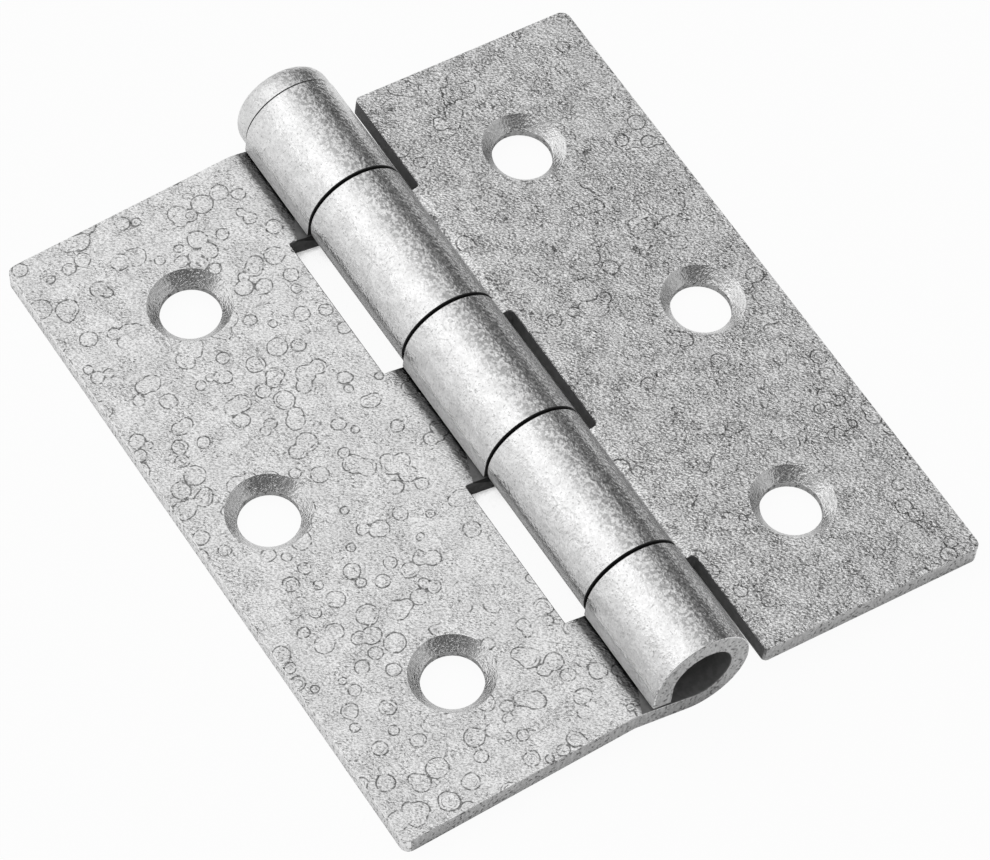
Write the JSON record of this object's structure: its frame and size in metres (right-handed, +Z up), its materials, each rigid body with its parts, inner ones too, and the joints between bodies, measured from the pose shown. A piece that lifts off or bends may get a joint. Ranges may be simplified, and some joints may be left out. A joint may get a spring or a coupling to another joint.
{
  "type": "broad butt hinge",
  "caption": "Broad steel butt hinge with rolled, interleaved knuckles, a loose headed pin and staggered countersunk screw holes.",
  "frame": {"origin": "on the surface that the hinge lies on, in the middle of its footprint, under the pin", "axes": "+Y along the pin towards its head, +Z up out of the leaves' faces, +X towards the leaf with two knuckles"},
  "size_m": [0.0664, 0.0792, 0.0107],
  "materials": {
    "zinc_bright": "galvanised, bright, with fine mottling and ring marks",
    "zinc_dull": "galvanised, duller, with an orange peel surface",
    "zinc_pin": "galvanised, plain"
  },
  "bodies": {
    "fixed_leaf": {"three_knuckle_leaf": "zinc_bright"},
    "swinging_leaf": {"two_knuckle_leaf": "zinc_dull"},
    "pin": {"hinge_pin": "zinc_pin"}
  },
  "joints": [
    {"name": "leaf_swing", "type": "hinge", "parent": "fixed_leaf", "child": "swinging_leaf", "pos_m": [0, -0.00153, 0.00535], "axis": [0, 1, 0], "range_deg": [-191, 125]},
    {"name": "pin_slide", "type": "slide", "parent": "fixed_leaf", "child": "pin", "axis": [0, 1, 0], "range_m": [0, 0.072]}
  ]
}
